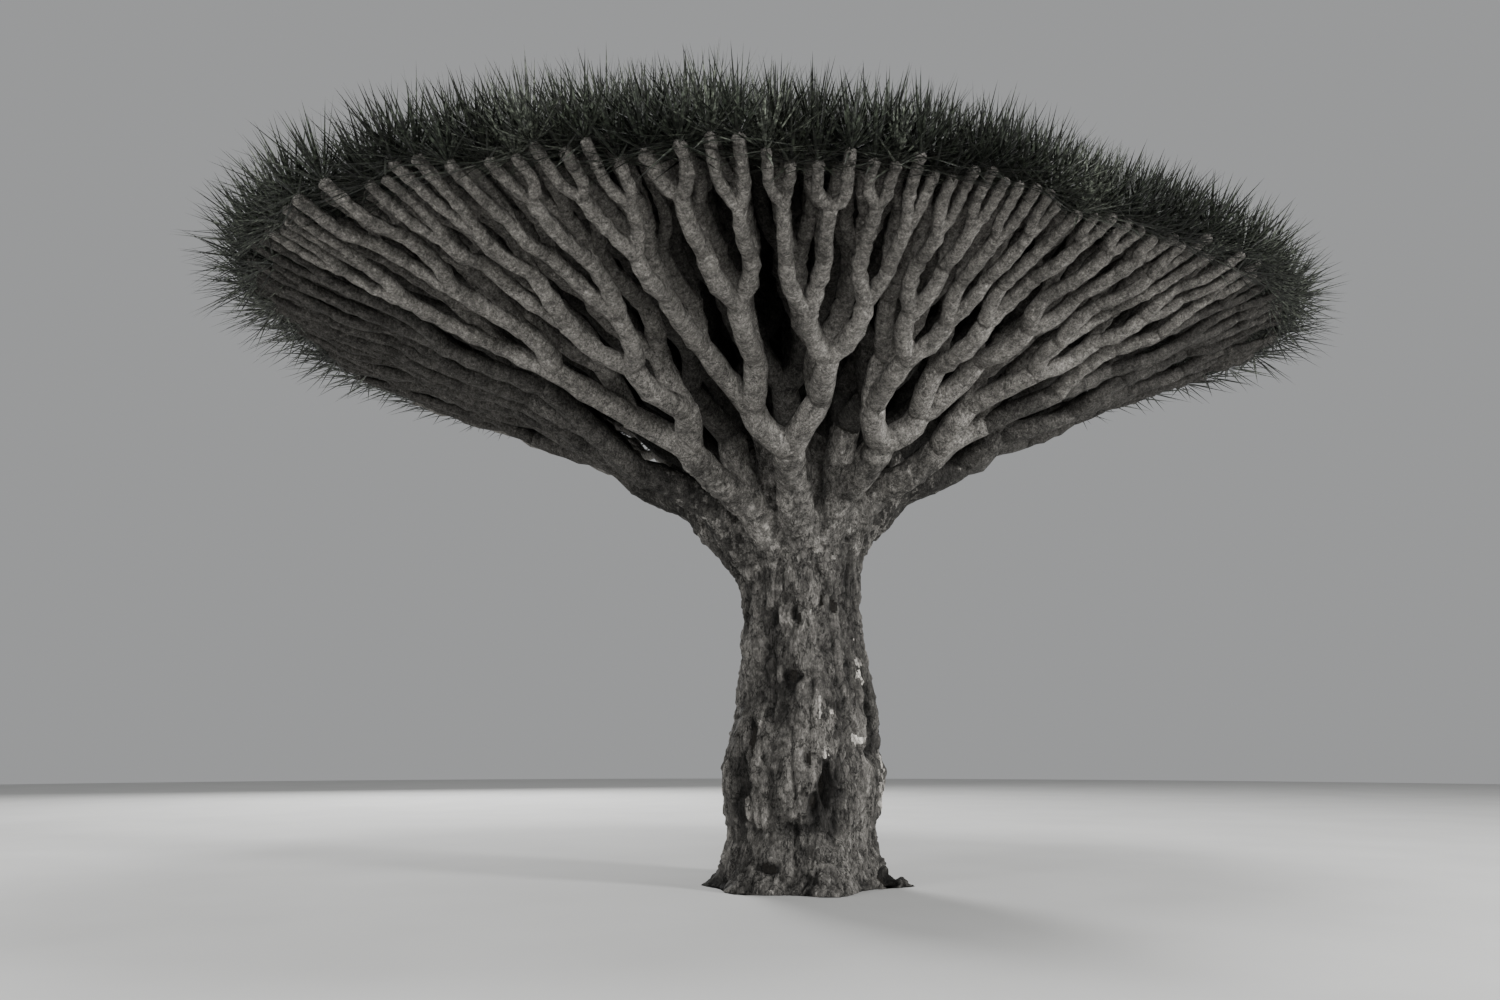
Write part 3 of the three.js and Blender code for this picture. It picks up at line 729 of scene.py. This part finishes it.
def with_relief(points, quads, relief):
    """Moves the skin out by its relief, and keeps the cut under the trunk flat on the ground."""
    shaped = points + normals_of(points, quads) * relief[:, None]
    shaped[:, 2] = np.maximum(shaped[:, 2], 0)
    shaped[:, 2] = np.where(points[:, 2] < VOXEL / 2, 0, shaped[:, 2])
    return shaped


def below_parting(middles):
    """Which faces belong to the trunk's piece: those below a ragged line round the head."""
    line = TRUNK_PIECE_TOP
    for (height, size), purpose in zip(PARTING_WAVES, PARTING):
        line = line + height * soft_noise(middles, size, purpose)
    return middles[:, 2] < line


def is_lit(x, y, jitter=0):
    """Whether a place in the crown is on its front or its back, where its bark is painted as lit, and
    not at its ends, where it gets painted shade.
    """
    turn = 2 * (np.arctan2(y, x) - LIT_TOWARDS + jitter)
    return np.abs(np.arctan2(np.sin(turn), np.cos(turn))) < 2 * LIT_HALF_WIDTH


def bark_looks(middles, on_trunk):
    """Each face's look: 0 plain, 1 peeled on the trunk or painted shade on the boughs, 2 painted shade
    inside a pit.
    """
    which = np.zeros(len(middles), int)
    ragged = soft_noise(middles, RAGGED_SIZE, RAGGED)
    for mark in PEELED:
        inside = in_mark(middles, mark)
        which[(inside > 0) & (inside + PEELED_RAGGED * ragged > PEELED_FROM)] = 1
    # Faces inside a pit get its painted shade.
    for mark in PITS:
        which[in_mark(middles, mark) + PIT_RAGGED * ragged > PIT_DARK_FROM] = 2
    # Boughs out from the head at the crown's two ends get painted shade.
    far_out = np.hypot(middles[:, 0], middles[:, 1]) + ragged > SHADE_FROM
    which[~on_trunk & far_out & ~is_lit(middles[:, 0], middles[:, 1])] = 1
    return which


def bark_piece(name, points, relief, quads, which, looks):
    """One piece of the skin, which keeps its relief for the materials to paint shade where it lies deep
    and a highlight where it stands out.
    """
    used, local = np.unique(quads, return_inverse=True)
    faces = local.reshape(-1, 4)
    halves = np.concatenate([faces[:, [0, 1, 2]], faces[:, [0, 2, 3]]])
    piece = make_object(name, points[used], halves, looks, np.tile(which, 2))
    height = piece.data.attributes.new("relief", "FLOAT", "POINT")
    shown = np.clip(.5 + .5 * relief[used] / DEEPEST, 0, 1)
    height.data.foreach_set("value", shown.astype(np.float32))
    return piece


def build_bark(limbs, looks):
    """Trunk and boughs with the bark's relief, cut into two pieces where they part."""
    skin, quads = bark_skin(limbs)
    relief = bark_relief(skin)
    points = with_relief(skin, quads, relief)
    middles = skin[quads].mean(1)
    low = below_parting(middles)
    which = bark_looks(middles, low)
    trunk_looks = [looks["trunk_bark"], looks["peeled_bark"], looks["pit_shade"]]
    bough_looks = [looks["bough_bark"], looks["shaded_bark"]]
    trunk = bark_piece("trunk_bark", points, relief, quads[low], which[low], trunk_looks)
    boughs = bark_piece("boughs_bark", points, relief, quads[~low], which[~low], bough_looks)
    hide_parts("trunk")
    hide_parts(*[name for name in frame["nodes"] if name.startswith("bough")])
    return [trunk, boughs]


# Finer limbs.

def bark_of(cell):
    """How much painted shade a limb's bark gets: 0 in light, 1 half shade or 2 dark, deeper inside the
    crown and at its ends.
    """
    rho = math.hypot(cell.x, cell.y)
    # Painted shade deepens for limbs further in from the rim, then once more off the lit front and back.
    shade = 0 if rho > OUTER_SHARE else 1 if rho > INNER_SHARE else 2
    bough = cell
    while bough.level > ROUGH_LEVEL:
        bough = bough.parent
    jitter = LIT_JITTER * (seeded(bough.number, TINT_SEED) - .5)
    lit = is_lit(cell.x, cell.y, jitter) and (cell.y < 0 or rho > OUTER_SHARE)
    return min(2, shade + (0 if lit else 1))


def masses_of(limbs, group):
    """The names of the masses that grow on some sectors."""
    return [f"mass_{cell.number}" for cell in limbs if cell.level == MASS_LEVEL and cell.root in group]


def build_twigs(limbs, group, name, twig_looks, limb_looks):
    """The finer limbs of some sectors as one mesh of knobbly tubes, the thick ones in rougher bark."""
    chosen = [cell for cell in limbs if cell.level > MASS_LEVEL and cell.root in group]
    parts = [limb_tube(cell, RING_STEP, SIDES_BY_LEVEL[cell.level]) for cell in chosen]
    # Each limb's bark in the painted shade that bark_of gives, the thick ones in rougher bark.
    which = [bark_of(cell) + (len(twig_looks) if cell.level <= ROUGH_LEVEL else 0) for cell in chosen]
    which = np.repeat(which, [len(part[2]) for part in parts])
    vertices, outward, triangles, along = join(parts)
    piece = make_object(name, roughen(vertices, outward), triangles, twig_looks + limb_looks, which)
    turns = piece.data.uv_layers.new(name="turns")
    v = along[triangles.reshape(-1)]
    turns.data.foreach_set("uv", np.stack([np.zeros_like(v), v], -1).astype(np.float32).ravel())
    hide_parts(*masses_of(limbs, group))
    return piece


# Leaves.

def rosette_frame(cell):
    """Where a twig ends and which way its rosette faces."""
    end = way_end(cell)
    before, tip = limb_way(cell, np.array([end - ROSETTE_WAY, end]))
    axis = (tip - before) / np.linalg.norm(tip - before) + (0, 0, ROSETTE_LEAN)
    return tip, axis / np.linalg.norm(axis)


def leaf_angles(cell, chance):
    """Each leaf's angle from the rosette's axis, and its turn round it. The leaves of the far rim
    don't hang below it."""
    k = np.arange(LEAVES)
    low, high = LEAF_POLAR
    high += (LEAF_POLAR_FAR - high) * np.clip((cell.y - FAR_FROM) / (FAR_FULL - FAR_FROM), 0, 1)
    share = ((k + .5) / LEAVES) ** LEAF_POLAR_POWER
    polar = np.radians(low + (high - low) * share + LEAF_POLAR_JITTER * (chance[0] - .5))
    start = 2 * math.pi * seeded(cell.number, ROSETTE_TURN_SEED)
    return polar, GOLDEN_TURN * k + start + LEAF_TURN_JITTER * (chance[1] - .5)


def rosette_leaves(cell):
    """The folded blades of one rosette: five points and four triangles each."""
    tip, axis = rosette_frame(cell)
    east = np.cross(axis, (0, 1.0, 0)) if abs(axis[1]) < NEARLY_NORTH else np.cross(axis, (1.0, 0, 0))
    east /= np.linalg.norm(east)
    north = np.cross(axis, east)
    first = cell.number * CHANCES_PER_ROSETTE
    chance = np.array([seeded(first + n, LEAF_SEED) for n in range(3 * LEAVES)]).reshape(3, LEAVES)
    polar, turn = leaf_angles(cell, chance)
    upright = LEAF_UPRIGHT_SHARE + (1 - LEAF_UPRIGHT_SHARE) * np.sin(polar)
    length = (LEAF_LENGTH * (1 + LEAF_SPREAD * (chance[2] - .5)) * upright)[:, None]
    out = east * np.cos(turn)[:, None] + north * np.sin(turn)[:, None]
    way = axis * np.cos(polar)[:, None] + out * np.sin(polar)[:, None]
    face = axis * np.sin(polar)[:, None] - out * np.cos(polar)[:, None]
    side = np.cross(way, face)
    droop = (LEAF_DROOP * np.sin(polar) ** 2)[:, None] * length * np.array((0, 0, -1.0))
    half = LEAF_WIDTH / 2
    root = tip + way * LEAF_ROOT
    widest = tip + way * length * LEAF_WIDEST
    end = tip + way * length + droop
    keel = widest - face * LEAF_KEEL * half
    return np.stack([root, widest - side * half, keel, widest + side * half, end], 1)


def build_leaves(limbs, group, name, looks):
    """The rosettes of some sectors as one mesh, each rosette in one of the looks."""
    tips = [cell for cell in limbs if cell.is_tip and cell.root in group]
    blades = np.concatenate([rosette_leaves(cell) for cell in tips])
    corners = (np.arange(len(blades)) * blades.shape[1])[:, None, None] + LEAF_TRIANGLES[None]
    tint = np.array([int(len(looks) * seeded(cell.number, TINT_SEED)) for cell in tips])
    which = np.repeat(tint, LEAVES * len(LEAF_TRIANGLES))
    piece = make_object(name, blades.reshape(-1, 3), corners.reshape(-1, 3), looks, which, smooth=False)
    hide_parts(*masses_of(limbs, group))
    return piece


# Materials.

# Barks of the skin, with painted shade where it lies deep and a painted highlight where it stands out;
# shaded_bark is bough_bark in painted shade. Three greys, stretch along the grain, the scales of its
# cracks and flakes, and how dark its cracks are, from black 0 to none 1.
RELIEF_SHADED_BARKS = {
    "trunk_bark": ((.055, .09, .14), .45, 6, 26, .12),
    "bough_bark": ((.085, .13, .19), .7, 8, 30, .3),
    "shaded_bark": ((.03, .045, .065), .7, 8, 30, .4),
    "peeled_bark": ((.3, .42, .58), .5, 10, 30, .5),
}

# Barks of the finer limbs: greys by how much painted shade the limb gets, and the rest as above by its
# girth.
LIMB_GREYS = {
    "in_light": (.145, .19, .25),
    "half_shade": (.055, .075, .1),
    "dark": (.03, .042, .056),
}
TWIG_GRAIN = (.9, 9, 45, .7)
LIMB_GRAIN = (.75, 8, 34, .35)

# Leaves: the dark and light colour of each tint.
LEAF_TINTS = {
    "leaf_deep": ((.0065, .008, .0055), (.0145, .017, .012)),
    "leaf_green": ((.013, .016, .0115), (.027, .032, .0235)),
    "leaf_dusty": ((.033, .038, .029), (.068, .075, .06)),
}
LEAF_STRETCH = .35

# Bark is a warm grey: how much of its red its green and blue are.
WARMTH = (1, .95, .87)

# Noises: scale, detail and roughness.
BARK_BROAD = (3.2, 5, .6)
BARK_SPECKLE = (62, 6, .8)
BARK_FLECKS = (30, 4, .7)
BARK_MOTTLE = (21, 5, .75)
BARK_BLOTCHES = (9, 6, .7)
PIT_SHADE_SPECKLE = (60, 5, .7)
LEAF_BROAD = (2.5, 2, .5)
LEAF_STREAK_GLINT = (32, 3, .6)
FLOOR_BROAD = (.6, 2, .5)
CRACK_ROUGHNESS = .6
CRACK_DETAIL = 6
FINE_CRACK_DETAIL = 4
FINE_CRACK_SCALE = 2.7

# Rings round a limb: a wave along the limb's own map, and how it is bent.
RINGS_PER_TURN = .17
RING_DISTORTION = 3.5
RING_DETAIL = 2
RING_DETAIL_SCALE = 2.5

# Stops of the ramps: where each is, and its colour or the grey that it multiplies by.
BROAD_STOPS = (.32, .5, .7)
SPECKLE_STOPS = ((.36, .4), (.5, 1), (.66, 1.7))
FLAKE_STOPS = ((0, .8), (1, 1.2))
FLECK_STOPS = ((.6, 1), (.68, 1.8))
MOTTLE_STOPS = ((.36, .6), (.5, 1), (.64, 1.4))
# The relief's greys paint shade where the bark lies deep and a highlight where it stands out.
RELIEF_SHADE_STOPS = ((.1, .22), (.36, .7), (.5, 1), (.78, 1.5))
BLOTCH_STOPS = ((.34, .5), (.5, 1), (.64, 1.5))
RING_STOPS = ((.01, .78), (.08, 1))
CRACK_EDGE = .022
FINE_CRACK_EDGE = .02
# Streaks along a leaf; their brightest stop is a painted glint.
STREAK_GLINT_STOPS = ((.38, .2), (.51, .75), (.64, 3.2))
# The inside of a pit is painted shade.
PIT_SHADE_STOPS = ((.3, (.006, .0055, .005)), (.7, (.026, .024, .021)))
FLOOR_STOPS = ((.3, (.5, .5, .49)), (.7, (.54, .54, .53)))

# How much each signal adds to the bark's bumps.
SPECKLE_BUMP = 1
CRACK_BUMP = 5
FINE_CRACK_BUMP = 2
FLAKE_BUMP = .4
RING_BUMP = .2


class Look:
    """A material that is built up signal by signal."""

    def __init__(self, name, roughness, specular, stretch=1):
        self.material = bpy.data.materials.new(name)
        self.material.use_nodes = True
        self.nodes = self.material.node_tree.nodes
        self.links = self.material.node_tree.links
        self.shader = self.nodes["Principled BSDF"]
        self.shader.inputs["Roughness"].default_value = roughness
        self.shader.inputs["Specular IOR Level"].default_value = specular
        place = self.nodes.new("ShaderNodeTexCoord")
        mapping = self.nodes.new("ShaderNodeMapping")
        mapping.inputs["Scale"].default_value = (1, 1, stretch)
        self.links.new(place.outputs["Object"], mapping.inputs["Vector"])
        self.place = mapping.outputs["Vector"]

    def noise(self, scale, detail, roughness):
        node = self.nodes.new("ShaderNodeTexNoise")
        node.inputs["Scale"].default_value = scale
        node.inputs["Detail"].default_value = detail
        node.inputs["Roughness"].default_value = roughness
        self.links.new(self.place, node.inputs["Vector"])
        return node.outputs["Fac"]

    def math(self, operation, value, other):
        """A signal changed by a number or by another signal."""
        node = self.nodes.new("ShaderNodeMath")
        node.operation = operation
        self.links.new(value, node.inputs[0])
        if isinstance(other, bpy.types.NodeSocket):
            self.links.new(other, node.inputs[1])
        else:
            node.inputs[1].default_value = other
        return node.outputs[0]

    def lines(self, scale, detail):
        """Near 0 along ragged lines, rising away from them: the noise's middle height."""
        noise = self.noise(scale, detail, CRACK_ROUGHNESS)
        return self.math("ABSOLUTE", self.math("SUBTRACT", noise, .5), 0)

    def flakes(self, scale):
        """A number for each small plate of bark."""
        cells = self.nodes.new("ShaderNodeTexVoronoi")
        cells.inputs["Scale"].default_value = scale
        self.links.new(self.place, cells.inputs["Vector"])
        tone = self.nodes.new("ShaderNodeSeparateColor")
        self.links.new(cells.outputs["Color"], tone.inputs["Color"])
        return tone.outputs["Red"]

    def rings(self):
        """Dark lines round a limb, at the turns that its own map counts along it."""
        turns = self.nodes.new("ShaderNodeUVMap")
        wave = self.nodes.new("ShaderNodeTexWave")
        wave.bands_direction = "Y"
        wave.inputs["Scale"].default_value = RINGS_PER_TURN
        wave.inputs["Distortion"].default_value = RING_DISTORTION
        wave.inputs["Detail"].default_value = RING_DETAIL
        wave.inputs["Detail Scale"].default_value = RING_DETAIL_SCALE
        self.links.new(turns.outputs["UV"], wave.inputs["Vector"])
        return wave.outputs["Fac"]

    def relief(self):
        """How far the mesh stands out, as its bark was shaped."""
        height = self.nodes.new("ShaderNodeAttribute")
        height.attribute_name = "relief"
        return height.outputs["Fac"]

    def ramp(self, value, stops):
        """Turns a signal into a colour between stops."""
        node = self.nodes.new("ShaderNodeValToRGB")
        ends = node.color_ramp.elements
        ends[0].position, ends[0].color = stops[0][0], (*stops[0][1], 1)
        ends[1].position, ends[1].color = stops[-1][0], (*stops[-1][1], 1)
        for position, colour in stops[1:-1]:
            ends.new(position).color = (*colour, 1)
        self.links.new(value, node.inputs["Fac"])
        return node.outputs["Color"]

    def multiply(self, colour, layers):
        """Darkens and lightens a colour by signals, each with its ramp of greys."""
        for value, stops in layers:
            node = self.nodes.new("ShaderNodeMix")
            node.data_type = "RGBA"
            node.blend_type = "MULTIPLY"
            node.inputs["Factor"].default_value = 1
            self.links.new(colour, node.inputs["A"])
            greys = [(position, (tone, tone, tone)) for position, tone in stops]
            self.links.new(self.ramp(value, greys), node.inputs["B"])
            colour = node.outputs["Result"]
        return colour

    def bump(self, heights, strength, depth):
        """Adds up height signals, each with its weight, and tilts the surface by them."""
        total, *others = [self.math("MULTIPLY", value, weight) for value, weight in heights]
        for other in others:
            total = self.math("ADD", total, other)
        node = self.nodes.new("ShaderNodeBump")
        node.inputs["Strength"].default_value = strength
        node.inputs["Distance"].default_value = depth
        self.links.new(total, node.inputs["Height"])
        self.links.new(node.outputs["Normal"], self.shader.inputs["Normal"])

    def colour(self, colour):
        self.links.new(colour, self.shader.inputs["Base Color"])


def bark_material(name, greys, stretch, crack_scale, flake_scale, crack_tone, relief_shade_and_blotches):
    """Granular bark: broad tone, flakes, speckle and dark ragged cracks. On the skin it has painted
    shade where it lies deep and a painted highlight where it stands out, and blotches; elsewhere it has
    rings."""
    look = Look(name, roughness=.93, specular=.2, stretch=stretch)
    shades = [tuple(value * share for share in WARMTH) for value in greys]
    speckle = look.noise(*BARK_SPECKLE)
    cracks = look.lines(crack_scale, CRACK_DETAIL)
    fine = look.lines(FINE_CRACK_SCALE * crack_scale, FINE_CRACK_DETAIL)
    flakes = look.flakes(flake_scale)
    layers = [
        (speckle, SPECKLE_STOPS),
        (cracks, ((0, crack_tone), (CRACK_EDGE, 1))),
        (fine, ((0, (1 + crack_tone) / 2), (FINE_CRACK_EDGE, 1))),
        (flakes, FLAKE_STOPS),
        (look.noise(*BARK_FLECKS), FLECK_STOPS),
        (look.noise(*BARK_MOTTLE), MOTTLE_STOPS),
    ]
    heights = [
        (speckle, SPECKLE_BUMP),
        (cracks, CRACK_BUMP * (1 - crack_tone)),
        (fine, FINE_CRACK_BUMP),
        (flakes, FLAKE_BUMP),
    ]
    # On the skin: painted shade where it lies deep and a painted highlight where it stands out, from its
    # relief, and blotches.
    if relief_shade_and_blotches:
        layers += [(look.relief(), RELIEF_SHADE_STOPS), (look.noise(*BARK_BLOTCHES), BLOTCH_STOPS)]
    else:
        rings = look.rings()
        layers.append((rings, RING_STOPS))
        heights.append((rings, RING_BUMP))
    broad = look.ramp(look.noise(*BARK_BROAD), list(zip(BROAD_STOPS, shades)))
    look.colour(look.multiply(broad, layers))
    look.bump(heights, strength=1, depth=.02)
    return look.material


def pit_shade_material():
    """Painted shade for the inside of a pit: near black with speckle."""
    look = Look("pit_shade", roughness=.98, specular=.1)
    speckle = look.noise(*PIT_SHADE_SPECKLE)
    look.colour(look.ramp(speckle, PIT_SHADE_STOPS))
    look.bump([(speckle, 1)], strength=.5, depth=.01)
    return look.material


def leaf_material(name, dark, light):
    """A stiff leaf: dark green with streaks along it, the brightest of them painted glints, and a slight
    gloss.
    """
    look = Look(name, roughness=.5, specular=.3, stretch=LEAF_STRETCH)
    streak_glint = look.noise(*LEAF_STREAK_GLINT)
    broad = look.ramp(look.noise(*LEAF_BROAD), ((.3, dark), (.7, light)))
    look.colour(look.multiply(broad, [(streak_glint, STREAK_GLINT_STOPS)]))
    look.bump([(streak_glint, 1)], strength=.25, depth=.003)
    return look.material


def floor_material():
    """A plain pale floor."""
    look = Look("floor", roughness=.9, specular=.2)
    look.colour(look.ramp(look.noise(*FLOOR_BROAD), FLOOR_STOPS))
    return look.material


# Camera, lights and floor.

CAMERA_PLACE = (-.475, -9.6, 1.1)
CAMERA_SLOPE = .258
CAMERA_LENS = 24
SENSOR_WIDTH = 36

# Lights: name, place, width and power; all aim at the middle of the tree.
LIGHTS = (
    ("key", (26, -14, 9), 5, 10500),
    ("side_fill", (-21, -17, 7), 5, 2800),
    ("front_fill", (1, -24, 4), 5, 3000),
    ("back_fill", (-10, 24, 14), 9, 8000),
    ("over", (4, -5, 25), 11, 4200),
)
TREE_MIDDLE = (0, 0, 4.6)
SKY_COLOUR = (.78, .79, .8, 1)
SKY_STRENGTH = .45
FLOOR_RADIUS = 48
FLOOR_SIDES = 96
FLOOR_DROP = .002


def build_camera():
    data = bpy.data.cameras.new("camera")
    data.sensor_fit = "HORIZONTAL"
    data.sensor_width = SENSOR_WIDTH
    data.lens = CAMERA_LENS
    camera = bpy.data.objects.new("camera", data)
    camera.location = CAMERA_PLACE
    camera.rotation_euler = (math.pi / 2 + math.atan(CAMERA_SLOPE), 0, 0)
    bpy.context.scene.collection.objects.link(camera)
    bpy.context.scene.camera = camera


def area_light(name, place, width, power):
    data = bpy.data.lights.new(name, "AREA")
    data.shape = "DISK"
    data.size = width
    data.energy = power
    light = bpy.data.objects.new(name, data)
    light.location = place
    aim = Vector(TREE_MIDDLE) - Vector(place)
    light.rotation_euler = aim.to_track_quat("-Z", "Y").to_euler()
    bpy.context.scene.collection.objects.link(light)


def build_sky():
    world = bpy.data.worlds.new("sky")
    world.use_nodes = True
    background = world.node_tree.nodes["Background"]
    background.inputs["Color"].default_value = SKY_COLOUR
    background.inputs["Strength"].default_value = SKY_STRENGTH
    bpy.context.scene.world = world


def build_floor():
    turn = 2 * np.pi * np.arange(FLOOR_SIDES) / FLOOR_SIDES
    level = np.full(FLOOR_SIDES, -FLOOR_DROP)
    rim = np.stack([FLOOR_RADIUS * np.cos(turn), FLOOR_RADIUS * np.sin(turn), level], -1)
    fan = np.array([(0, k, k + 1) for k in range(1, FLOOR_SIDES - 1)])
    make_object("floor", rim, fan, [floor_material()], smooth=False)


def build_studio():
    """A pale floor under an even pale sky, a wide soft key light and low fill lights."""
    build_sky()
    for light in LIGHTS:
        area_light(*light)
    build_floor()


def build_tree():
    """All pieces of the tree, each riding on its root."""
    limbs = grow()
    looks = {name: bark_material(name, *values, relief_shade_and_blotches=True) for name, values in RELIEF_SHADED_BARKS.items()}
    looks["pit_shade"] = pit_shade_material()
    twig_looks = []
    limb_looks = []
    # Each limb bark in light, in half painted shade and in deep painted shade.
    for name, greys in LIMB_GREYS.items():
        twig_looks.append(bark_material(f"twig_{name}", greys, *TWIG_GRAIN, relief_shade_and_blotches=False))
        limb_looks.append(bark_material(f"limb_{name}", greys, *LIMB_GRAIN, relief_shade_and_blotches=False))
    leaf_looks = [leaf_material(name, *colours) for name, colours in LEAF_TINTS.items()]
    pieces = build_bark(limbs, looks)
    for k, group in enumerate(PIECE_SECTORS, 1):
        pieces.append(build_twigs(limbs, group, f"twigs_{k}", twig_looks, limb_looks))
        pieces.append(build_leaves(limbs, group, f"leaves_{k}", leaf_looks))
    for piece in pieces:
        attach(piece, "root")
        print("piece", piece.name, len(piece.data.polygons))


build_tree()
build_camera()
build_studio()
